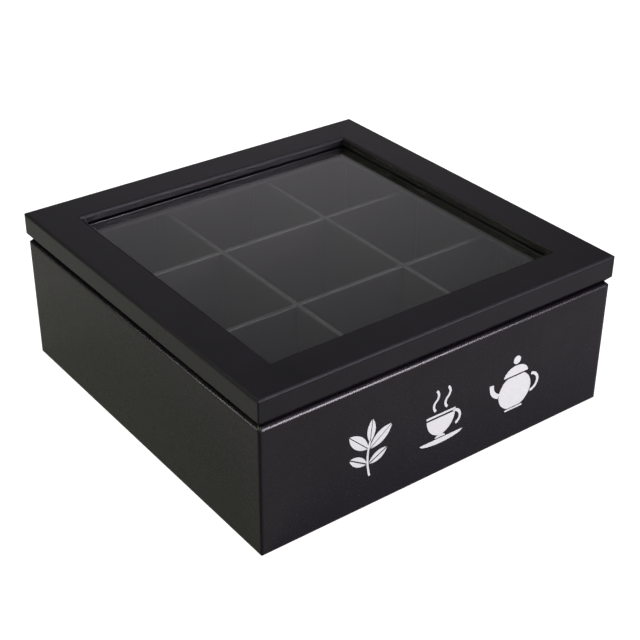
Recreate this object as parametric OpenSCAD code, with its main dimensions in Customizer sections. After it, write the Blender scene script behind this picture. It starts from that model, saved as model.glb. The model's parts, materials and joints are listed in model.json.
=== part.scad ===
// Tea bag organizer box: a square case with nine compartments under a hinged lid that frames a pane of glass.
// Sizes are in millimetres. The origin is the centre of the underside, the front faces -Y and +Z is up.
// The lid and the case are bevelled where they meet, so a V-groove runs round the joint.
// At the back the hinge axis lies at the bottom of that groove: the two bevels close on each other and stop the lid.

/* [Overall size] */
// Width of the lid from side to side
lid_w = 240; // [210:1:300]
// Depth of the lid from front to back
lid_d = 240; // [210:1:300]
// Height from the underside to the top of the lid
total_h = 95; // [85:1:130]

/* [Lid] */
// Height of the lid's rails
lid_h = 16.5; // [14:0.5:20]
// Width of the lid's rails, seen from above
rail_w = 24; // [22:1:32]
// How far the lid stands out past the case on every side
lid_overhang = 1; // [0.5:0.25:1.5]
// Radius of the eased edge round the top of the lid
lid_edge_r = 1.2; // [0.6:0.2:1.8]
// Thickness of the glass
glass_t = 2; // [2:0.5:3]
// Depth of the glass below the top of the lid
glass_drop = 6; // [5:0.5:7]
// Depth of the groove that holds the edge of the glass
glass_groove = 6; // [4:0.5:7]
// Height of that groove, a saw's width
glass_groove_h = 3.2; // [3.2:0.1:4]
// Radius of the eased edge round the window
window_edge_r = 1.5; // [0.5:0.25:2]

/* [Groove between lid and case] */
// How far the groove goes in from the face of the lid
groove_in = 3; // [2.5:0.25:3.5]
// Height of the bevel under the lid
lid_bevel_h = 3.5; // [3:0.25:4]
// Height of the bevel round the top of the case
case_bevel_h = 2.1; // [1.8:0.1:3]
// Radius where the two bevels run into the upright faces
bevel_edge_r = 1.5; // [0.5:0.25:2]

/* [Case] */
// Thickness of the case's four walls
wall_t = 9; // [9:0.5:12]
// Thickness of the base board
base_t = 3; // [3:0.5:5]
// Width of the rebate that holds the base board
base_rebate = 5; // [4:0.5:6]
// Radius of the case's and the lid's upright corners
corner_r = 0.8; // [0.4:0.2:1.2]

/* [Compartments] */
// Thickness of the dividers
divider_t = 3; // [2.5:0.5:5]
// Distance from the rim of the case down to the dividers
divider_drop = 0.5; // [0.5:0.5:10]
// Depth of the upright grooves that hold the dividers' ends
housing_depth = 1.5; // [1:0.5:2]

/* [Hinges] */
// Distance from the middle of the back to the middle of each hinge
hinge_x = 70; // [50:1:80]
// Length of a hinge along its pin
hinge_l = 25; // [20:1:35]
// Thickness of a hinge leaf
leaf_t = 1; // [0.8:0.1:1.2]
// Outer diameter of a hinge's knuckles
knuckle_d = 4; // [3.6:0.1:4.4]
// Number of knuckles on a hinge, the first and the last on the case's leaf
knuckles = 5; // [3:2:7]
// Diameter of the hinge pin
pin_d = 1.8; // [1.6:0.1:2]
// Length of a hinge screw
screw_l = 8; // [6:0.5:10]

/* [Hidden] */

// Faces of round parts, how far a cutting shape reaches past what it cuts, and the radius of a sanded edge
$fn = 48;
past = 1;
sanded_r = 0.5;

// Case, inside and out
case_w = lid_w - 2 * lid_overhang;
case_d = lid_d - 2 * lid_overhang;
rim_z = total_h - lid_h;
inner_w = case_w - 2 * wall_t;
inner_d = case_d - 2 * wall_t;
case_bevel_in = groove_in - lid_overhang;
foot_bevel = 0.6;
board_gap = 0.1;

// Three rows of three compartments
cells = 3;
cell_w = (inner_w - (cells - 1) * divider_t) / cells;
cell_d = (inner_d - (cells - 1) * divider_t) / cells;
divider_x = (cell_w + divider_t) / 2;
divider_y = (cell_d + divider_t) / 2;
divider_top = rim_z - divider_drop;
lap_z = (base_t + divider_top) / 2;
slot_gap = 0.1;

// Glass, lying on the lower side of its groove
glass_top = total_h - glass_drop;
glass_gap_edge = 0.5;
glass_arris = 0.3;
window_w = lid_w - 2 * rail_w;
window_d = lid_d - 2 * rail_w;

// Hinge: the axis runs along the bottom of the groove
axis_y = lid_d / 2 - groove_in;
axis_z = rim_z;
knuckle_r = knuckle_d / 2;
knuckle_gap = 0.2;
knuckle_l = (hinge_l - (knuckles - 1) * knuckle_gap) / knuckles;
leaf_gap = 0.1;
leaf_w = wall_t - case_bevel_in - 0.3;
leaf_sunk = leaf_gap + leaf_t;
pin_r = pin_d / 2;
pin_play = 0.05;
pin_hold = 0.01;
pin_head_r = pin_r + 0.6;
pin_head_h = 0.5;
notch_gap = 0.2;
notch_l = hinge_l + 2 * (pin_head_h + notch_gap);
mortise_gap = 0.1;

// Countersunk hinge screws, two in each leaf
screw_x = hinge_l * 0.3;
screw_y = -(leaf_w + knuckle_r) / 2;
screw_r = 1;
screw_head_r = 1.7;
screw_head_h = screw_head_r - screw_r;
screw_rim_h = 0.1;
screw_point_h = 1.6;
screw_gap = 0.03;
recess_w = 0.5;
recess_l = 2;
recess_h = 0.7;

// Colours
black_paint = [0.16, 0.155, 0.165];
black_board = [0.2, 0.195, 0.205];
window_glass = [0.75, 0.82, 0.82, 0.35];
nickel = [0.72, 0.71, 0.69];

// What rounding takes off a corner at p. turn points into the material and angle is the corner's own angle.
module off_corner(p, turn, angle, r) {
    half = angle / 2;
    reach = r / tan(half);
    translate(p)
        rotate(turn)
            difference() {
                polygon([
                    reach * [cos(half), sin(half)],
                    reach * [cos(half), sin(half)] + past * [-sin(half), cos(half)],
                    [-2 * past, 0],
                    reach * [cos(half), -sin(half)] + past * [-sin(half), -cos(half)],
                    reach * [cos(half), -sin(half)]
                ]);
                translate([r / sin(half), 0])
                    circle(r = r);
            }
}

// Cross-section of a case wall, from its outer face (x = 0) inwards
module wall_profile() {
    slant = atan2(case_bevel_h, case_bevel_in);
    difference() {
        polygon([
            [foot_bevel, 0],
            [wall_t - base_rebate, 0],
            [wall_t - base_rebate, base_t],
            [wall_t, base_t],
            [wall_t, rim_z],
            [case_bevel_in, rim_z],
            [0, rim_z - case_bevel_h],
            [0, foot_bevel]
        ]);
        off_corner([0, rim_z - case_bevel_h], (slant - 90) / 2, slant + 90, bevel_edge_r);
        off_corner([wall_t, rim_z], -135, 90, sanded_r);
    }
}

// Cross-section of a lid rail, from its outer face (x = 0) inwards
module rail_profile() {
    slant = atan2(lid_bevel_h, groove_in);
    groove_z = lid_h - glass_drop - glass_t;
    difference() {
        polygon([[groove_in, 0], [rail_w, 0], [rail_w, lid_h], [0, lid_h], [0, lid_bevel_h]]);
        translate([rail_w - glass_groove, groove_z])
            square([glass_groove + past, glass_groove_h]);
        off_corner([0, lid_bevel_h], (90 - slant) / 2, slant + 90, bevel_edge_r);
        off_corner([0, lid_h], -45, 90, lid_edge_r);
        off_corner([rail_w, lid_h], -135, 90, window_edge_r);
        off_corner([rail_w, groove_z], -135, 90, sanded_r);
        off_corner([rail_w, 0], 135, 90, sanded_r);
    }
}

// A bar along X with its outer face at y = 0, made from a cross-section and mitred at both ends.
// Its two upright outer edges are rounded, which rounds the corner where two bars meet.
module mitred_bar(run, width, height) {
    difference() {
        intersection() {
            rotate([90, 0, 90])
                translate([0, 0, -run / 2])
                    linear_extrude(run)
                        children();
            linear_extrude(height)
                polygon([[-run / 2, 0], [run / 2, 0], [run / 2 - width, width], [width - run / 2, width]]);
        }
        for (side = [0, 1])
            mirror([side, 0, 0])
                translate([-run / 2, 0, -past])
                    difference() {
                        translate([-past, -past, 0])
                            cube([corner_r + past, corner_r + past, height + 2 * past]);
                        translate([corner_r, corner_r, -past])
                            cylinder(r = corner_r, h = height + 4 * past);
                    }
    }
}

// A case wall with the two grooves that hold the dividers' ends
module case_wall(run, groove_x) {
    difference() {
        mitred_bar(run, wall_t, rim_z)
            wall_profile();
        for (x = [-groove_x, groove_x])
            translate([x - divider_t / 2 - slot_gap, wall_t - housing_depth, base_t])
                cube([divider_t + 2 * slot_gap, housing_depth + past, rim_z]);
    }
}

// A lid rail
module lid_rail(run) {
    translate([0, 0, rim_z])
        mitred_bar(run, rail_w, lid_h)
            rail_profile();
}

// Cross-section of a divider, standing on the base board, with its top edges sanded
module divider_profile() {
    height = divider_top - base_t;
    difference() {
        translate([-divider_t / 2, 0])
            square([divider_t, height]);
        for (side = [0, 1])
            mirror([side, 0])
                off_corner([divider_t / 2, height], -135, 90, sanded_r);
    }
}

// A divider along X, with a slot for each crossing divider, cut down from the top or up from the bottom
module divider(run, slot_x, slots_on_top) {
    slot_w = divider_t + 2 * slot_gap;
    slot_z = slots_on_top ? lap_z : base_t - past;
    slot_h = slots_on_top ? divider_top - lap_z + past : lap_z - base_t + past;
    difference() {
        translate([-run / 2, 0, base_t])
            rotate([90, 0, 90])
                linear_extrude(run)
                    divider_profile();
        for (x = [-slot_x, slot_x])
            translate([x - slot_w / 2, -divider_t, slot_z])
                cube([slot_w, 2 * divider_t, slot_h]);
    }
}

// The places of the screws in a leaf, from the middle of the hinge's axis
module at_screws() {
    for (x = [-screw_x, screw_x])
        translate([x, screw_y, -leaf_gap])
            children();
}

// What a hinge takes out of the wood below its axis: a leaf's mortise, its pilot holes and half of the barrel's notch
module hinge_cut(mortise_w) {
    rotate([0, 90, 0])
        cylinder(r = knuckle_r + notch_gap, h = notch_l, center = true);
    translate([-hinge_l / 2 - mortise_gap, -mortise_w, -leaf_sunk])
        cube([hinge_l + 2 * mortise_gap, mortise_w, leaf_sunk + past]);
    at_screws()
        translate([0, 0, -screw_l - screw_gap])
            cylinder(r = screw_r + screw_gap, h = screw_l);
}

// A knuckle of a hinge, counted from the hinge's left end and made longer at both ends by reach
module knuckle(index, r, reach) {
    translate([index * (knuckle_l + knuckle_gap) - hinge_l / 2 - reach, 0, 0])
        rotate([0, 90, 0])
            cylinder(r = r, h = knuckle_l + 2 * reach);
}

// A hinge leaf below its axis, with every second knuckle, and room for the other leaf's knuckles
module leaf(first, bore_r) {
    difference() {
        union() {
            translate([-hinge_l / 2, -leaf_w, -leaf_sunk])
                cube([hinge_l, leaf_w, leaf_t]);
            for (i = [first : 2 : knuckles - 1])
                knuckle(i, knuckle_r, 0);
        }
        for (i = [1 - first : 2 : knuckles - 1])
            knuckle(i, knuckle_r + notch_gap, knuckle_gap);
        rotate([0, 90, 0])
            cylinder(r = bore_r, h = hinge_l + 2 * past, center = true);
        at_screws() {
            translate([0, 0, -leaf_t - past])
                cylinder(r = screw_r + screw_gap, h = leaf_t + 2 * past);
            translate([0, 0, -screw_rim_h - screw_head_h])
                cylinder(r1 = screw_r + screw_gap, r2 = screw_head_r + screw_gap, h = screw_head_h);
            translate([0, 0, -screw_rim_h])
                cylinder(r = screw_head_r + screw_gap, h = screw_rim_h + past);
        }
    }
}

// A countersunk wood screw pointing down, with a cross recess and its head's top at z = 0
module screw() {
    difference() {
        rotate_extrude()
            polygon([
                [0, 0],
                [screw_head_r, 0],
                [screw_head_r, -screw_rim_h],
                [screw_r, -screw_rim_h - screw_head_h],
                [screw_r, screw_point_h - screw_l],
                [0, -screw_l]
            ]);
        for (turn = [0, 90])
            rotate([0, 0, turn])
                translate([-recess_l / 2, -recess_w / 2, -recess_h])
                    cube([recess_l, recess_w, recess_h + past]);
    }
}

// A hinge pin with a flattened head at both ends
module pin() {
    rotate([0, 90, 0])
        union() {
            cylinder(r = pin_r, h = hinge_l, center = true);
            for (end = [0, 1])
                mirror([0, 0, end])
                    translate([0, 0, hinge_l / 2])
                        cylinder(r1 = pin_head_r, r2 = pin_r, h = pin_head_h);
        }
}

// Puts what is drawn round a hinge's axis in its place. side is -1 for the left hinge and 1 for the right one.
module at_hinge(side) {
    translate([side * hinge_x, axis_y, axis_z])
        children();
}

// The same hinge parts turned over, for the lid
module turned_over() {
    mirror([0, 0, 1])
        children();
}

module box_front_panel() {
    color(black_paint)
        translate([0, -case_d / 2, 0])
            case_wall(case_w, divider_x);
}

module box_back_panel() {
    color(black_paint)
        difference() {
            rotate([0, 0, 180])
                translate([0, -case_d / 2, 0])
                    case_wall(case_w, divider_x);
            for (side = [-1, 1])
                at_hinge(side)
                    hinge_cut(wall_t + past);
        }
}

module box_left_panel() {
    color(black_paint)
        rotate([0, 0, -90])
            translate([0, -case_w / 2, 0])
                case_wall(case_d, divider_y);
}

module box_right_panel() {
    color(black_paint)
        rotate([0, 0, 90])
            translate([0, -case_w / 2, 0])
                case_wall(case_d, divider_y);
}

module base_panel() {
    board_w = inner_w + 2 * (base_rebate - board_gap);
    board_d = inner_d + 2 * (base_rebate - board_gap);
    color(black_board)
        translate([-board_w / 2, -board_d / 2, 0])
            cube([board_w, board_d, base_t]);
}

// The dividers from front to back drop over the ones from side to side
module divider_along_y(x) {
    color(black_board)
        translate([x, 0, 0])
            rotate([0, 0, 90])
                divider(inner_d + 2 * (housing_depth - slot_gap), divider_y, false);
}

module divider_along_x(y) {
    color(black_board)
        translate([0, y, 0])
            divider(inner_w + 2 * (housing_depth - slot_gap), divider_x, true);
}

module lid_front_rail() {
    color(black_paint)
        translate([0, -lid_d / 2, 0])
            lid_rail(lid_w);
}

module lid_back_rail() {
    color(black_paint)
        difference() {
            rotate([0, 0, 180])
                translate([0, -lid_d / 2, 0])
                    lid_rail(lid_w);
            for (side = [-1, 1])
                at_hinge(side)
                    turned_over()
                        hinge_cut(leaf_w + mortise_gap);
        }
}

module lid_left_rail() {
    color(black_paint)
        rotate([0, 0, -90])
            translate([0, -lid_w / 2, 0])
                lid_rail(lid_d);
}

module lid_right_rail() {
    color(black_paint)
        rotate([0, 0, 90])
            translate([0, -lid_w / 2, 0])
                lid_rail(lid_d);
}

// A bar that cuts a ground arris, where it lies along an edge of the glass
module arris_cut(along) {
    size = glass_arris * sqrt(2);
    rotate(along.x > 0 ? [45, 0, 0] : [0, 45, 0])
        cube(along + (along.x > 0 ? [0, size, size] : [size, 0, size]), center = true);
}

module glass_pane() {
    pane_w = window_w + 2 * (glass_groove - glass_gap_edge);
    pane_d = window_d + 2 * (glass_groove - glass_gap_edge);
    color(window_glass)
        difference() {
            translate([-pane_w / 2, -pane_d / 2, glass_top - glass_t])
                cube([pane_w, pane_d, glass_t]);
            for (z = [glass_top - glass_t, glass_top])
                for (side = [-1, 1]) {
                    translate([0, side * pane_d / 2, z])
                        arris_cut([pane_w + past, 0, 0]);
                    translate([side * pane_w / 2, 0, z])
                        arris_cut([0, pane_d + past, 0]);
                }
        }
}

module hinge_leaf_box(side) {
    color(nickel)
        at_hinge(side)
            leaf(0, pin_r + pin_hold);
}

module hinge_leaf_lid(side) {
    color(nickel)
        at_hinge(side)
            turned_over()
                leaf(1, pin_r + pin_play);
}

module hinge_pin(side) {
    color(nickel)
        at_hinge(side)
            pin();
}

module hinge_screws_box() {
    color(nickel)
        for (side = [-1, 1])
            at_hinge(side)
                at_screws()
                    screw();
}

module hinge_screws_lid() {
    color(nickel)
        for (side = [-1, 1])
            at_hinge(side)
                turned_over()
                    at_screws()
                        screw();
}

box_front_panel();
box_back_panel();
box_left_panel();
box_right_panel();
base_panel();
divider_along_y(-divider_x);  // divider_left
divider_along_y(divider_x);  // divider_right
divider_along_x(-divider_y);  // divider_front
divider_along_x(divider_y);  // divider_back
lid_front_rail();
lid_back_rail();
lid_left_rail();
lid_right_rail();
glass_pane();
hinge_leaf_box(-1);  // hinge_leaf_box_left
hinge_leaf_box(1);  // hinge_leaf_box_right
hinge_leaf_lid(-1);  // hinge_leaf_lid_left
hinge_leaf_lid(1);  // hinge_leaf_lid_right
hinge_pin(-1);  // hinge_pin_left
hinge_pin(1);  // hinge_pin_right
hinge_screws_box();
hinge_screws_lid();
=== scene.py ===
# %% [markdown]
# A tea bag organizer box: a black case with nine compartments and a hinged lid that frames a pane of glass.
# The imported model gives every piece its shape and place. This script gives the pieces their finishes, adds
# the painted motifs on the front, and sets up the camera and the light. Lengths are in metres. Where
# millimetres are handier, as for the motifs, they are turned into metres by MM.

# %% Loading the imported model
import json
import math

import bpy
from mathutils import Matrix, Vector


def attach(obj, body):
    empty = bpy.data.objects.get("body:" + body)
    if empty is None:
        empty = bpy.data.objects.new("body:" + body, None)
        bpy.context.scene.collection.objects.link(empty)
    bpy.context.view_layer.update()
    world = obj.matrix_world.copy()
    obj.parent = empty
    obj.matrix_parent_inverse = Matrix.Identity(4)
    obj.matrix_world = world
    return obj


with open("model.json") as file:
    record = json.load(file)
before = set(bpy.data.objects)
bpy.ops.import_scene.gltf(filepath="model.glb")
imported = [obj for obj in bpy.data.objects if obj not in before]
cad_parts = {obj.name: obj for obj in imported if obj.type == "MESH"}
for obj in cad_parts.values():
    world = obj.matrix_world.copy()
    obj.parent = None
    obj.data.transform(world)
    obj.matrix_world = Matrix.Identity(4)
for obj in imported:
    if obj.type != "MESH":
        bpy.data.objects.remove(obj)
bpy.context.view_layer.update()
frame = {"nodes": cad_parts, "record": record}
MM = 0.001

# %% [markdown]
# The camera stands in front of the near left corner and looks down on the lid. Its place and its three
# angles come from the corners of the case and the lid in the photograph. A long lens keeps the sides nearly
# parallel.

# %% Camera
IMAGE_SIDE = 640
FOCAL_PIXELS = 1369.4
SENSOR = 36.0
CAMERA_PLACE = Vector((-411.9, -554.2, 455.3)) * MM
CAMERA_AZIMUTH = math.radians(-37.03)
CAMERA_ELEVATION = math.radians(31.16)
CAMERA_ROLL = math.radians(0.41)


def add_camera():
    """A camera that looks from its azimuth and elevation, with a small roll about its own axis."""
    level = math.cos(CAMERA_ELEVATION)
    back = Vector((
        math.sin(CAMERA_AZIMUTH) * level,
        -math.cos(CAMERA_AZIMUTH) * level,
        math.sin(CAMERA_ELEVATION),
    ))
    right = (-back).cross(Vector((0, 0, 1))).normalized()
    up = back.cross(right)
    rolled_right = right * math.cos(CAMERA_ROLL) + up * math.sin(CAMERA_ROLL)
    rolled_up = back.cross(rolled_right)
    turn = Matrix((rolled_right, rolled_up, back)).transposed()
    lens = bpy.data.cameras.new("camera")
    lens.sensor_width = SENSOR
    lens.lens = FOCAL_PIXELS / IMAGE_SIDE * SENSOR
    camera = bpy.data.objects.new("camera", lens)
    bpy.context.scene.collection.objects.link(camera)
    camera.matrix_world = Matrix.Translation(CAMERA_PLACE) @ turn.to_4x4()
    bpy.context.scene.camera = camera
    return camera


camera = add_camera()
bpy.context.scene.view_settings.view_transform = "Standard"
print("lens:", round(camera.data.lens, 1), "mm")

# %% [markdown]
# The floor, the room and every finish are made of nodes. Written out by hand, each node takes three or four
# lines. These helpers make it one, so that a finish reads like a recipe.

# %% Helpers for node trees
def add_node(tree, kind, **inputs):
    """A node with its inputs set. An input's name is written with _ for each space."""
    made = tree.nodes.new(kind)
    for name, value in inputs.items():
        made.inputs[name.replace("_", " ")].default_value = value
    return made


def wire(tree, source, target):
    """Joins an output socket to an input socket."""
    tree.links.new(source, target)


def calculate(tree, operation, first, second=0.0):
    """A Math node. Each of its two inputs is a number or an output socket."""
    node = add_node(tree, "ShaderNodeMath")
    node.operation = operation
    for socket, value in zip(node.inputs, (first, second)):
        if isinstance(value, bpy.types.NodeSocket):
            wire(tree, value, socket)
        else:
            socket.default_value = value
    return node.outputs[0]


def step_up(tree, value, first, last):
    """0 below the first value, 1 above the last, and a soft change between them. Works downwards too."""
    node = add_node(tree, "ShaderNodeMapRange")
    node.interpolation_type = "SMOOTHSTEP"
    wire(tree, value, node.inputs["Value"])
    node.inputs["From Min"].default_value = first
    node.inputs["From Max"].default_value = last
    return node.outputs["Result"]


def empty_tree(owner):
    """The node tree of a new material or world, cleared."""
    owner.use_nodes = True
    owner.node_tree.nodes.clear()
    return owner.node_tree


# %% [markdown]
# The floor is a pale sweep. The camera, and what it sees through the glass, get it at full white, as in the
# photograph. Reflections get it dimmer, or the satin black sides would turn grey. Its own colour is a middle
# grey, which takes the shadow and hands some light back to the underside of the lid.

# %% Floor
FLOOR_SIDE = 12.0
FLOOR_COLOUR = (0.3, 0.3, 0.3, 1)
FLOOR_GLOW = 0.9
FLOOR_GLOW_REFLECTED = 0.052


def seen_share(tree, seen, mirrored):
    """One value for rays from the camera or through glass, another for reflections, and 0 for the rest.

    A ray that leaves the glass after a bounce inside it or below it counts as the rest."""
    path = add_node(tree, "ShaderNodeLightPath")
    bounces = calculate(tree, "ADD", path.outputs["Diffuse Depth"], path.outputs["Glossy Depth"])
    unbounced = calculate(tree, "LESS_THAN", bounces, 0.5)
    through = calculate(tree, "MULTIPLY", path.outputs["Is Transmission Ray"], unbounced)
    straight = calculate(tree, "MAXIMUM", path.outputs["Is Camera Ray"], through)
    straight = calculate(tree, "MULTIPLY", straight, seen)
    reflected = calculate(tree, "MULTIPLY", path.outputs["Is Glossy Ray"], mirrored)
    return calculate(tree, "MAXIMUM", straight, reflected)


def floor_finish():
    """A matt grey that also glows for the camera and, less, for reflections."""
    material = bpy.data.materials.new("floor_sweep")
    tree = empty_tree(material)
    matt = add_node(tree, "ShaderNodeBsdfDiffuse", Color=FLOOR_COLOUR)
    glow = add_node(tree, "ShaderNodeEmission", Color=(1, 1, 1, 1))
    wire(tree, seen_share(tree, FLOOR_GLOW, FLOOR_GLOW_REFLECTED), glow.inputs["Strength"])
    both = add_node(tree, "ShaderNodeAddShader")
    wire(tree, matt.outputs[0], both.inputs[0])
    wire(tree, glow.outputs[0], both.inputs[1])
    output = add_node(tree, "ShaderNodeOutputMaterial")
    wire(tree, both.outputs[0], output.inputs["Surface"])
    return material


bpy.ops.object.select_all(action="DESELECT")
bpy.ops.mesh.primitive_plane_add(size=FLOOR_SIDE)
floor = bpy.context.active_object
floor.name = "floor"
floor.data.materials.append(floor_finish())
print("floor:", FLOOR_SIDE, "m square")

# %% [markdown]
# The room is a plain studio with dark walls. A wide pool of soft light lies on the wall behind the box and
# dies away towards its foot. The glass and the top of the lid mirror that pool, so they are lightest at
# their far ends. Everything else stays dark, so the black stays black. The foot is given by two heights on a
# sphere of radius 1, between which the light fades in.

# %% Room
ROOM_GREY = 0.01
POOL_COLOUR = (0.99, 0.945, 1.0)
POOL_AZIMUTH = 34.5
POOL_ELEVATION = 15.0
POOL_GLOW = 0.47
POOL_FADE = 18.0
POOL_FOOT = (0.20, 0.42)


def direction(azimuth, elevation):
    """A unit vector. The azimuth turns from the back of the box towards its right side, in degrees."""
    turn, rise = math.radians(azimuth), math.radians(elevation)
    return Vector((math.sin(turn) * math.cos(rise), math.cos(turn) * math.cos(rise), math.sin(rise)))


def add_room():
    """White for the camera and through glass, and otherwise dark grey with one pool of light."""
    world = bpy.data.worlds.new("room")
    bpy.context.scene.world = world
    tree = empty_tree(world)
    where = add_node(tree, "ShaderNodeTexCoord")
    towards = add_node(tree, "ShaderNodeVectorMath")
    towards.operation = "DOT_PRODUCT"
    towards.inputs[1].default_value = direction(POOL_AZIMUTH, POOL_ELEVATION)
    wire(tree, where.outputs["Generated"], towards.inputs[0])
    facing = calculate(tree, "MAXIMUM", towards.outputs["Value"], 0.0)
    glow = calculate(tree, "MULTIPLY", calculate(tree, "POWER", facing, POOL_FADE), POOL_GLOW)
    parts = add_node(tree, "ShaderNodeSeparateXYZ")
    wire(tree, where.outputs["Generated"], parts.inputs[0])
    foot = step_up(tree, parts.outputs[2], *POOL_FOOT)
    grey = calculate(tree, "ADD", calculate(tree, "MULTIPLY", glow, foot), ROOM_GREY)
    seen = seen_share(tree, 1.0, 0.0)
    colour = add_node(tree, "ShaderNodeMix")
    colour.data_type = "RGBA"
    colour.inputs[6].default_value = (*POOL_COLOUR, 1)
    colour.inputs[7].default_value = (1, 1, 1, 1)
    wire(tree, seen, colour.inputs[0])
    background = add_node(tree, "ShaderNodeBackground")
    wire(tree, colour.outputs[2], background.inputs["Color"])
    wire(tree, calculate(tree, "MAXIMUM", seen, grey), background.inputs["Strength"])
    output = add_node(tree, "ShaderNodeOutputWorld")
    wire(tree, background.outputs[0], output.inputs["Surface"])


add_room()
print("pool of light: azimuth", POOL_AZIMUTH, "elevation", POOL_ELEVATION)

# %% [markdown]
# Seven soft boxes light it. The key is small and high at the front right, and brightens the bevel round the
# case. A low one lights the front and its motifs, and draws the bright line along the arris below that bevel.
# One stands at the left, for the left side. A small one beyond it, close to the floor, puts a glint on the
# left arris, and a weak one behind the camera opens the shadows. The last two stand high, where the glass
# doesn't mirror them from the usual angles. They keep the right side and the back readable when the box is
# turned. Angles are in degrees, power in watts.

# %% Soft boxes
PALE = (0.97, 0.93, 1.0)
COOL = (0.96, 0.88, 1.0)
WARM = (0.95, 1.0, 0.66)
SOFT_BOX_DISTANCE = 2.0
SOFT_BOXES = {
    "key": dict(azimuth=143, elevation=57, width=0.45, height=0.42, power=15.0, tint=COOL),
    "low": dict(azimuth=154, elevation=13, width=0.6, height=0.5, power=44.0, tint=COOL),
    "left": dict(azimuth=290, elevation=52, width=0.6, height=0.6, power=22.5, tint=WARM),
    "glint": dict(azimuth=308, elevation=7, width=0.22, height=0.3, power=3.4, tint=PALE),
    "fill": dict(azimuth=205, elevation=55, width=0.6, height=0.6, power=7.0, tint=PALE),
    "right": dict(azimuth=82, elevation=58, width=0.8, height=0.5, power=8.5, tint=PALE),
    "back": dict(azimuth=350, elevation=58, width=0.8, height=0.5, power=4.5, tint=PALE),
}


def add_soft_box(name, azimuth, elevation, width, height, power, tint):
    """A rectangular lamp that faces the middle of the box."""
    data = bpy.data.lights.new(name, "AREA")
    data.shape = "RECTANGLE"
    data.size = width
    data.size_y = height
    data.energy = power
    data.color = tint
    lamp = bpy.data.objects.new(name, data)
    bpy.context.scene.collection.objects.link(lamp)
    towards = direction(azimuth, elevation)
    lamp.location = towards * SOFT_BOX_DISTANCE
    lamp.rotation_euler = towards.to_track_quat("Z", "Y").to_euler()
    return lamp


lamps = {name: add_soft_box(name, **place) for name, place in SOFT_BOXES.items()}
print("soft boxes:", ", ".join(lamps))

# %% [markdown]
# Three small silver motifs are painted on the front through a stencil: a sprig, a cup and a teapot. They
# could be a pattern in the paint of the panel. Thin solids of their own keep their edges crisp at any
# distance, and they can be left off or swapped. Each is drawn flat in edit mode, shape by shape. A shape that
# is done is hidden, so that the next step only works on the new one.

# %% Helpers for drawing flat shapes
FRONT_FACE = -119.0
BASE_LINE = 20.0
FILM = 0.12
UP, DOWN, LEFT = (0, 1), (0, -1), (-1, 0)


def open_sheet(name):
    """A new empty mesh, open in edit mode."""
    bpy.ops.object.select_all(action="DESELECT")
    bpy.ops.mesh.primitive_plane_add(size=MM)
    sheet = bpy.context.active_object
    sheet.name = name
    bpy.ops.object.mode_set(mode="EDIT")
    bpy.ops.mesh.select_mode(type="VERT")
    bpy.ops.mesh.select_all(action="SELECT")
    bpy.ops.mesh.delete(type="VERT")
    return sheet


def cut(place, away):
    """Cuts the shape in hand along a line, drops the side that faces away and selects the rest."""
    bpy.ops.mesh.bisect(plane_co=(place[0] * MM, place[1] * MM, 0), plane_no=(*away, 0), clear_outer=True)
    bpy.ops.mesh.select_all(action="SELECT")


def stretch(factor):
    """Stretches the shape in hand up and down from the origin. A factor below 1 flattens it."""
    bpy.ops.transform.resize(value=(1, factor, 1), center_override=(0, 0, 0))


def set_down(place, turn=0.0):
    """Turns the shape in hand clockwise about the origin, moves it to its place and hides it there."""
    bpy.ops.mesh.select_all(action="SELECT")
    bpy.ops.transform.rotate(value=math.radians(turn), orient_axis="Z", center_override=(0, 0, 0))
    bpy.ops.transform.translate(value=(place[0] * MM, place[1] * MM, 0))
    bpy.ops.mesh.select_all(action="SELECT")
    bpy.ops.mesh.hide()


def new_disc(radius, rim_points=96):
    """A filled disc about the origin, which stays in hand."""
    bpy.ops.mesh.primitive_circle_add(vertices=rim_points, radius=radius * MM, fill_type="NGON")


def draw_leaf(place, turn, length, width, vein=0.6):
    """A pointed leaf in two halves, with a bare vein between them, that grows from its place."""
    bulge = width / 2
    radius = (length * length / 4 + bulge * bulge) / (2 * bulge)
    new_disc(radius, rim_points=192)
    bpy.ops.transform.translate(value=((bulge - radius) * MM, length / 2 * MM, 0))
    cut((vein / 2, 0), LEFT)
    bpy.ops.mesh.duplicate()
    bpy.ops.transform.resize(value=(-1, 1, 1), center_override=(0, 0, 0))
    set_down(place, turn)


def draw_arc(centre, radius, width, first, last, steps=24):
    """A curved stroke of even width. The two angles are counted from the right towards the top.

    A square as wide as the stroke is cut down to its lower edge, which is then spun about the origin."""
    bpy.ops.mesh.primitive_plane_add(size=width * MM, location=(radius * MM, width / 2 * MM, 0))
    cut((0, 0), UP)
    bpy.ops.mesh.spin(steps=steps, angle=math.radians(first - last), center=(0, 0, 0), axis=(0, 0, 1))
    set_down(centre, -first)


# %% [markdown]
# A finished drawing gets the thickness of a film of paint from a Solidify modifier. Then it is turned
# upright, with its back just inside the panel, and rides with the case.

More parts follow.
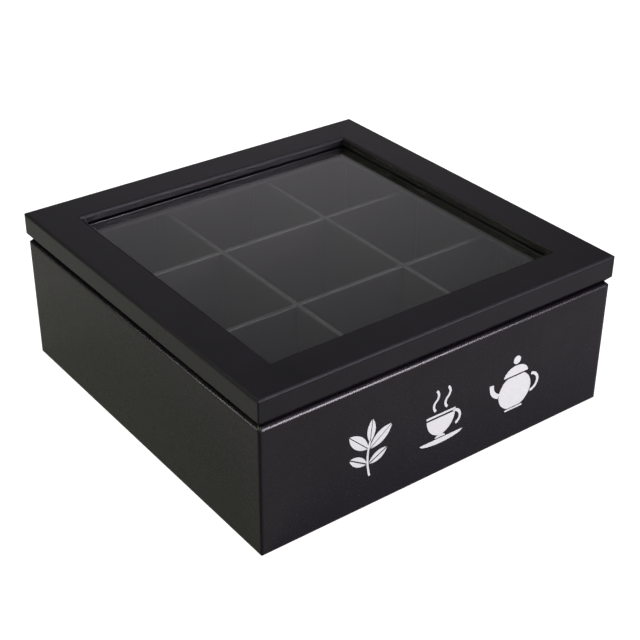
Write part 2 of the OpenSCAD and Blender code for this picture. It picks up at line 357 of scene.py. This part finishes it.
# %% Helper that stands a drawing up on the front
def stand_up(sheet, left):
    """Gives the drawing its thickness and moves it to its place on the front."""
    bpy.ops.mesh.reveal(select=True)
    bpy.ops.mesh.normals_make_consistent(inside=False)
    bpy.ops.object.mode_set(mode="OBJECT")
    film = sheet.modifiers.new("film", "SOLIDIFY")
    film.thickness = FILM * MM
    film.offset = 0.0
    bpy.ops.object.modifier_apply(modifier=film.name)
    bpy.ops.object.mode_set(mode="EDIT")
    bpy.ops.mesh.select_all(action="SELECT")
    bpy.ops.mesh.normals_make_consistent(inside=False)
    bpy.ops.transform.rotate(value=math.radians(-90), orient_axis="X", center_override=(0, 0, 0))
    bpy.ops.transform.translate(value=(left * MM, FRONT_FACE * MM, BASE_LINE * MM))
    bpy.ops.object.mode_set(mode="OBJECT")
    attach(sheet, "box")
    corners = [vertex.co / MM for vertex in sheet.data.vertices]
    for axis in range(3):
        places = [corner[axis] for corner in corners]
        print(sheet.name, "xyz"[axis], round(min(places), 2), "to", round(max(places), 2), "mm")


# %% [markdown]
# The sprig has two pairs of leaves and a bud on a stem that bends a little.

# %% Sprig
sprig = open_sheet("front_motif_sprig")
draw_arc(centre=(40, 11), radius=40, width=1.3, first=164, last=196)
draw_leaf(place=(1.5, 21.2), turn=5, length=14.3, width=5.4)
draw_leaf(place=(0.3, 17.6), turn=-46, length=17.5, width=7.2)
draw_leaf(place=(1.4, 17.2), turn=54, length=17.5, width=7.2)
draw_leaf(place=(-0.4, 8.2), turn=-58, length=13.5, width=5.8)
draw_leaf(place=(0.8, 7.8), turn=64, length=13.5, width=5.8)
stand_up(sprig, left=-52.5)

# %% [markdown]
# The cup is a half disc, stretched downwards, with a bare line under its rim. A saucer and two curls of steam
# go with it.

# %% Cup
cup = open_sheet("front_motif_cup")
new_disc(radius=15)
stretch(0.22)
cut((0, 0), UP)
set_down((0, 3.3))
new_disc(radius=3.6)
stretch(0.5)
cut((0, 0), DOWN)
set_down((-1, 4.0))
new_disc(radius=10)
stretch(1.25)
cut((0, -1.2), UP)
set_down((-1, 18.2))
new_disc(radius=10.1)
cut((0, 0.9), UP)
cut((0, -0.4), DOWN)
set_down((-1, 18.6))
draw_arc(centre=(8.0, 13.0), radius=4.6, width=1.7, first=-68, last=98)
for place in (-5, 3):
    draw_arc(centre=(place + 2.6, 25.3), radius=4, width=1.5, first=128, last=232)
    draw_arc(centre=(place - 2.33, 31.6), radius=4, width=1.5, first=-52, last=52)
stand_up(cup, left=-2.0)

# %% [markdown]
# The teapot is a round body on a foot, with a lid, a knob, a curved spout and a ring for a handle.

# %% Teapot
teapot = open_sheet("front_motif_teapot")
new_disc(radius=12)
stretch(0.94)
cut((0, 9.6), UP)
cut((0, -10.4), DOWN)
set_down((0, 12.2))
new_disc(radius=6.5)
cut((0, 0.7), UP)
cut((0, -0.5), DOWN)
set_down((0, 0.5))
new_disc(radius=9)
stretch(0.72)
cut((0, 0.6), DOWN)
set_down((0, 22.2))
new_disc(radius=2.6)
set_down((0, 32.3))
draw_arc(centre=(-9.6, 21.0), radius=8.2, width=3.0, first=172, last=252)
draw_arc(centre=(11.6, 13.4), radius=5.6, width=1.8, first=-86, last=86)
stand_up(teapot, left=51.0)

# %% [markdown]
# Every finish is built from nodes that read Object coordinates, so a pattern stays on its piece when the lid
# opens. These helpers give the coordinates, a noise, a change of scale, a mix of two colours, a relief and a
# new material to put them in.

# %% Helpers for patterns
BUILD_UP_SAMPLES = 8


def object_axes(tree):
    """The Object coordinates, and their three parts as sockets, in metres."""
    where = add_node(tree, "ShaderNodeTexCoord")
    parts = add_node(tree, "ShaderNodeSeparateXYZ")
    wire(tree, where.outputs["Object"], parts.inputs[0])
    return where.outputs["Object"], parts.outputs


def noise(tree, where, scale, detail=2.0, roughness=0.5):
    """Noise from about 0.3 to 0.7 on the object. The scale is in waves to the metre."""
    node = add_node(tree, "ShaderNodeTexNoise", Scale=scale, Detail=detail, Roughness=roughness)
    wire(tree, where, node.inputs["Vector"])
    return node.outputs[0]


def spread(tree, value, low, high, first=0.3, last=0.7):
    """Maps values from first to last onto values from low to high."""
    node = add_node(tree, "ShaderNodeMapRange")
    wire(tree, value, node.inputs["Value"])
    for name, number in (("From Min", first), ("From Max", last), ("To Min", low), ("To Max", high)):
        node.inputs[name].default_value = number
    return node.outputs["Result"]


def mixed_colour(tree, factor, first, second):
    """A mix of two colours. A colour may be a socket."""
    node = add_node(tree, "ShaderNodeMix")
    node.data_type = "RGBA"
    wire(tree, factor, node.inputs[0])
    for socket, value in ((node.inputs[6], first), (node.inputs[7], second)):
        if isinstance(value, bpy.types.NodeSocket):
            wire(tree, value, socket)
        else:
            socket.default_value = (*value, 1)
    return node.outputs[2]


def bumped(tree, shader, height, distance, build_up=0.0):
    """Gives the shader a relief, whose distance is the height of a full step. Build-up rounds the arrises."""
    node = add_node(tree, "ShaderNodeBump", Strength=1.0, Distance=distance)
    wire(tree, height, node.inputs["Height"])
    if build_up:
        soft = add_node(tree, "ShaderNodeBevel", Radius=build_up)
        soft.samples = BUILD_UP_SAMPLES
        wire(tree, soft.outputs[0], node.inputs["Normal"])
    wire(tree, node.outputs[0], shader.inputs["Normal"])


def new_finish(name, **inputs):
    """A material with one Principled shader."""
    material = bpy.data.materials.new(name)
    tree = empty_tree(material)
    shader = add_node(tree, "ShaderNodeBsdfPrincipled", **inputs)
    output = add_node(tree, "ShaderNodeOutputMaterial")
    wire(tree, shader.outputs[0], output.inputs["Surface"])
    return material, tree, shader


# %% [markdown]
# The case and the lid are fibreboard under satin black paint. It has a very fine peel, and its tone and gloss
# vary a little from place to place. On the arrises it is rubbed down, so it is duller and thinner there.
# Inside the case the spray hardly reached, so the paint there shines less. Deep in the groove under the lid,
# on the upper part of the bevel round the case and on the bevel of the lid, the shine is turned down as
# painted shade, which darkens the joint where the lid shades it. Masks find all of them from the box's own
# measures. A band is a pair of distances from an edge: where the mask begins and where it is full.

# %% Masks for the black paint
HALF_LID, HALF_WINDOW, LID_TOP, LID_FOOT = 0.120, 0.096, 0.095, 0.082
HALF_CASE, CASE_TOP, DIVIDER_TOP = 0.119, 0.0785, 0.0780
OUTER_BAND = (-0.0018, -0.0011)
WINDOW_BAND = (0.0021, 0.0014)
UPPER_BAND = (-0.0020, -0.0014)
CORNER_BAND = (-0.0012, -0.0004)
LID_BEVEL_BAND = (0.0006, 0.0001)
WINDOW_WALL_BAND = (0.0006, 0.0003)
CASE_FOOT_BAND = (0.0012, 0.0003)
GROOVE_REACH_BAND = (-0.0028, -0.0024)
GROOVE_HEIGHT_BAND = (-0.0013, -0.0007)
INNER_FACE_BAND = (-0.0070, -0.0078)
RIM_BAND = (-0.0008, -0.0016)


def past(tree, value, edge, band):
    """A soft step that begins at the first distance from an edge and is full at the second."""
    return step_up(tree, value, edge + band[0], edge + band[1])


def from_middle(tree, axes, operation):
    """The larger (MAXIMUM) or the smaller (MINIMUM) of the two level distances from the middle of the box."""
    return calculate(tree, operation, *(calculate(tree, "ABSOLUTE", axis) for axis in axes[:2]))


def lid_arris(tree, axes):
    """1 along the outer top edges, the eased edges of the window and the four upright corners of the lid."""
    reach = from_middle(tree, axes, "MAXIMUM")
    outer = past(tree, reach, HALF_LID, OUTER_BAND)
    window = past(tree, reach, HALF_WINDOW, WINDOW_BAND)
    upper = past(tree, axes[2], LID_TOP, UPPER_BAND)
    corner = past(tree, from_middle(tree, axes, "MINIMUM"), HALF_LID, CORNER_BAND)
    edges = calculate(tree, "MULTIPLY", calculate(tree, "MAXIMUM", outer, window), upper)
    return calculate(tree, "MAXIMUM", edges, corner)


def lid_bevel(tree, axes):
    """1 on the bevel under the lid, where the shine is turned down as painted shade."""
    return past(tree, axes[2], LID_FOOT, LID_BEVEL_BAND)


def window_wall(tree, axes):
    """1 on the upright faces round the window, which are given a lighter grey there as painted light."""
    return past(tree, from_middle(tree, axes, "MAXIMUM"), HALF_WINDOW, WINDOW_WALL_BAND)


def case_arris(tree, axes):
    """1 along the bottom edges and the four upright corners of the case."""
    lower = past(tree, axes[2], 0.0, CASE_FOOT_BAND)
    corner = past(tree, from_middle(tree, axes, "MINIMUM"), HALF_CASE, CORNER_BAND)
    return calculate(tree, "MAXIMUM", lower, corner)


def case_groove(tree, axes):
    """1 on the upper part of the bevel round the case, deep in the groove under the lid, where the shine is
    turned down as painted shade.
    """
    outside = past(tree, from_middle(tree, axes, "MAXIMUM"), HALF_CASE, GROOVE_REACH_BAND)
    return calculate(tree, "MULTIPLY", past(tree, axes[2], CASE_TOP, GROOVE_HEIGHT_BAND), outside)


def case_inside(tree, axes):
    """1 on the inner faces of the case walls, which are painted like the compartments."""
    return past(tree, from_middle(tree, axes, "MAXIMUM"), HALF_CASE, INNER_FACE_BAND)


def below_the_rims(tree, axes):
    """1 on the sides of the dividers and on the base, and 0 on the upper edges of the dividers."""
    return past(tree, axes[2], DIVIDER_TOP, RIM_BAND)


print("half widths: lid", HALF_LID, "window", HALF_WINDOW, "case", HALF_CASE)

# %% [markdown]
# The paint itself is one recipe for the case, the lid and the compartments. It could be one flat colour, but
# then it would look like plastic: the clouds and the grain are what make it read as paint on board. Scales
# are in waves to the metre.

# %% Black paint
BLACK = (0.0023, 0.0017, 0.0030)
LID_BLACK = (0.0021, 0.0018, 0.0028)
INSIDE_BLACK = (0.0025, 0.0023, 0.0026)
# A lighter grey on the faces round the window of the lid, painted light for the light that falls on them.
WINDOW_WALL_PAINTED_LIGHT = (0.0105, 0.0098, 0.0108)
CASE_ROUGHNESS = 0.27
LID_ROUGHNESS = 0.24
INSIDE_ROUGHNESS = 0.45
ARRIS_ROUGHNESS = 0.5
PAINT_IOR = 1.4
PAINT_SHINE = 0.5
ARRIS_SHINE = 0.22
# The shine left on the bevel of the lid and in the groove round the case makes painted shade in the joint.
LID_BEVEL_SHADE_SHINE = 0.05
GROOVE_SHADE_SHINE = 0.25
INSIDE_SHINE = 0.55
CLOUD_SCALE = 38.0
CLOUD_LIFT = 1.7
CLOUD_GLOSS = 0.025
GRAIN_SCALE = 900.0
GRAIN_GLOSS = 0.02
GRAIN_DEPTH = 0.000002
ARRIS_LIFT = 2.6
ARRIS_BREAKS = (0.75, 1.1)
CASE_BUILD_UP = 0.0023


def scaled(colour, times):
    """A colour made lighter or darker."""
    return tuple(channel * times for channel in colour)


def changed(tree, value, mask, change):
    """A value with a change added where the mask is 1."""
    return calculate(tree, "ADD", value, calculate(tree, "MULTIPLY", mask, change))


def paint(name, colour, roughness, thin, arris=None, other=None, build_up=0.0):
    """Satin black paint: soft clouds in tone and gloss, a fine peel, and duller arrises.

    Thin coats, and painted shade in the groove under the lid, are given as pairs: a mask with the share of
    the shine that is left there. Another coat is given as a mask with its colour and roughness; on the lid it
    is a lighter grey painted in as light on the faces round the window."""
    material, tree, shader = new_finish(name, IOR=PAINT_IOR)
    where, axes = object_axes(tree)
    clouds = noise(tree, where, scale=CLOUD_SCALE, detail=4.0, roughness=0.6)
    grain = noise(tree, where, scale=GRAIN_SCALE, detail=3.0, roughness=0.6)
    tone = mixed_colour(tree, spread(tree, clouds, 0.0, 1.0), colour, scaled(colour, CLOUD_LIFT))
    gloss = calculate(tree, "ADD", spread(tree, clouds, roughness - CLOUD_GLOSS, roughness + CLOUD_GLOSS),
                      spread(tree, grain, -GRAIN_GLOSS, GRAIN_GLOSS))
    shine = PAINT_SHINE
    if other:
        mask, other_colour, other_roughness = other
        there = mask(tree, axes)
        tone = mixed_colour(tree, there, tone, other_colour)
        gloss = changed(tree, gloss, there, other_roughness - roughness)
    if arris:
        rubbed = calculate(tree, "MULTIPLY", arris(tree, axes), spread(tree, grain, *ARRIS_BREAKS))
        tone = mixed_colour(tree, rubbed, tone, scaled(colour, ARRIS_LIFT))
        gloss = changed(tree, gloss, rubbed, ARRIS_ROUGHNESS - roughness)
        shine = spread(tree, rubbed, PAINT_SHINE, ARRIS_SHINE, 0.0, 1.0)
    for mask, share in thin:
        shine = calculate(tree, "MULTIPLY", shine, spread(tree, mask(tree, axes), 1.0, share, 0.0, 1.0))
    wire(tree, shine, shader.inputs["Specular IOR Level"])
    wire(tree, tone, shader.inputs["Base Color"])
    wire(tree, gloss, shader.inputs["Roughness"])
    bumped(tree, shader, grain, distance=GRAIN_DEPTH, build_up=build_up)
    print(name, "roughness", roughness)
    return material


# %% [markdown]
# The pane is clear float glass, a trace greener than air and not quite flat. Rays that only cast a shadow go
# straight through it, so that the compartments stay free of noise.

# %% Glass
GLASS_IOR = 1.5
GLASS_ROUGHNESS = 0.01
GLASS_LOW = (0.965, 0.985, 0.975)
GLASS_HIGH = (0.975, 0.985, 0.98)
GLASS_SHADE = (0.92, 0.94, 0.93, 1)
RIPPLE_SCALE = 22.0
RIPPLE_DEPTH = 0.000003


def clear_glass(name):
    """Float glass with a faint waviness."""
    material = bpy.data.materials.new(name)
    tree = empty_tree(material)
    clear = add_node(tree, "ShaderNodeBsdfPrincipled", Roughness=GLASS_ROUGHNESS, IOR=GLASS_IOR)
    clear.inputs["Transmission Weight"].default_value = 1.0
    ripple = noise(tree, object_axes(tree)[0], scale=RIPPLE_SCALE)
    wire(tree, mixed_colour(tree, ripple, GLASS_LOW, GLASS_HIGH), clear.inputs["Base Color"])
    bumped(tree, clear, ripple, distance=RIPPLE_DEPTH)
    shade = add_node(tree, "ShaderNodeBsdfTransparent", Color=GLASS_SHADE)
    path = add_node(tree, "ShaderNodeLightPath")
    both = add_node(tree, "ShaderNodeMixShader")
    wire(tree, path.outputs["Is Shadow Ray"], both.inputs[0])
    wire(tree, clear.outputs[0], both.inputs[1])
    wire(tree, shade.outputs[0], both.inputs[2])
    output = add_node(tree, "ShaderNodeOutputMaterial")
    wire(tree, both.outputs[0], output.inputs["Surface"])
    print(name, "IOR", GLASS_IOR)
    return material


# %% [markdown]
# The hinges, pins and screws are nickel-plated steel. The steel is rolled, which leaves fine lines under the
# plating, along the length of a hinge. Fingers and a screwdriver leave it duller in patches.

# %% Plated metal
NICKEL = (0.64, 0.63, 0.59)
LINE_SCALE = 5200.0
LINE_STRETCH = 0.03
LINE_GLOSS = 0.05
LINE_DEPTH = 0.000008
PATCH_SCALE = 260.0
PATCH_TONE = 0.8
PATCH_GLOSS = (0.08, -0.05)


def plated(name, roughness, line_axis):
    """Bright plating with fine lines along one axis, 0 for X or 1 for Y, and duller patches."""
    material, tree, shader = new_finish(name, Metallic=1.0)
    where = object_axes(tree)[0]
    stretch = add_node(tree, "ShaderNodeMapping")
    stretch.inputs["Scale"].default_value = [LINE_STRETCH if axis == line_axis else 1.0 for axis in range(3)]
    wire(tree, where, stretch.inputs["Vector"])
    lines = noise(tree, stretch.outputs[0], scale=LINE_SCALE, detail=3.0, roughness=0.7)
    patches = noise(tree, where, scale=PATCH_SCALE, detail=3.0)
    tone = mixed_colour(tree, spread(tree, patches, 0.0, 1.0), scaled(NICKEL, PATCH_TONE), NICKEL)
    wire(tree, tone, shader.inputs["Base Color"])
    gloss = calculate(tree, "ADD", spread(tree, patches, *(roughness + change for change in PATCH_GLOSS)),
                      spread(tree, lines, -LINE_GLOSS, LINE_GLOSS))
    wire(tree, gloss, shader.inputs["Roughness"])
    bumped(tree, shader, lines, distance=LINE_DEPTH)
    print(name, "roughness", roughness)
    return material


# %% [markdown]
# The motifs are silver paint. Its flakes lie at slightly different angles, so it sparkles a little and is
# never quite even.

# %% Silver paint
SILVER_LOW = (0.56, 0.585, 0.56)
SILVER_HIGH = (0.74, 0.775, 0.74)
SILVER_METAL = 0.3
SILVER_IOR = 1.45
SILVER_ROUGHNESS = (0.55, 0.42)
FLAKE_SCALE = 3600.0
FLAKE_DEPTH = 0.00001
MOTTLING_SCALE = 300.0
MOTTLING_SHARE = 0.25


def silver_paint(name):
    """Pale metallic paint with fine flakes and a little mottling."""
    material, tree, shader = new_finish(name, Metallic=SILVER_METAL, IOR=SILVER_IOR)
    where = object_axes(tree)[0]
    flakes = noise(tree, where, scale=FLAKE_SCALE, roughness=0.7)
    mottling = noise(tree, where, scale=MOTTLING_SCALE, detail=3.0)
    pale = mixed_colour(tree, spread(tree, flakes, 0.0, 1.0), SILVER_LOW, SILVER_HIGH)
    tone = mixed_colour(tree, spread(tree, mottling, MOTTLING_SHARE, 0.0), pale, SILVER_LOW)
    wire(tree, tone, shader.inputs["Base Color"])
    wire(tree, spread(tree, flakes, *SILVER_ROUGHNESS), shader.inputs["Roughness"])
    bumped(tree, shader, flakes, distance=FLAKE_DEPTH)
    print(name, "metallic", SILVER_METAL)
    return material


# %% [markdown]
# Each node of the imported model names its finish, so one loop hands them all out.

# %% Handing out the finishes
# Thin coats dull the shine inside the case and the compartments; painted shade dulls it in the groove and on
# the bevel of the lid.
THIN_AND_SHADE_ON_CASE = ((case_groove, GROOVE_SHADE_SHINE), (case_inside, INSIDE_SHINE))
SHADE_ON_LID_BEVEL = ((lid_bevel, LID_BEVEL_SHADE_SHINE),)
THIN_INSIDE = ((below_the_rims, INSIDE_SHINE),)
FINISHES = {
    "case_paint": paint("case_paint", BLACK, CASE_ROUGHNESS, THIN_AND_SHADE_ON_CASE, arris=case_arris,
                        other=(case_inside, INSIDE_BLACK, INSIDE_ROUGHNESS), build_up=CASE_BUILD_UP),
    # Round the window the lid gets a lighter grey as painted light.
    "lid_paint": paint("lid_paint", LID_BLACK, LID_ROUGHNESS, SHADE_ON_LID_BEVEL, arris=lid_arris,
                       other=(window_wall, WINDOW_WALL_PAINTED_LIGHT, LID_ROUGHNESS)),
    "inside_paint": paint("inside_paint", INSIDE_BLACK, INSIDE_ROUGHNESS, THIN_INSIDE),
    "glass": clear_glass("glass"),
    "hinge_metal": plated("hinge_metal", roughness=0.30, line_axis=0),
    "pin_metal": plated("pin_metal", roughness=0.22, line_axis=0),
    "screw_metal": plated("screw_metal", roughness=0.26, line_axis=1),
    "silver_print": silver_paint("silver_print"),
}
MOTIFS = (sprig, cup, teapot)
for part in frame["record"]["subparts"]:
    for slot in frame["nodes"][part["node"]].material_slots:
        slot.material = FINISHES[part["material_slot"]]
for motif in MOTIFS:
    motif.data.materials.append(FINISHES["silver_print"])
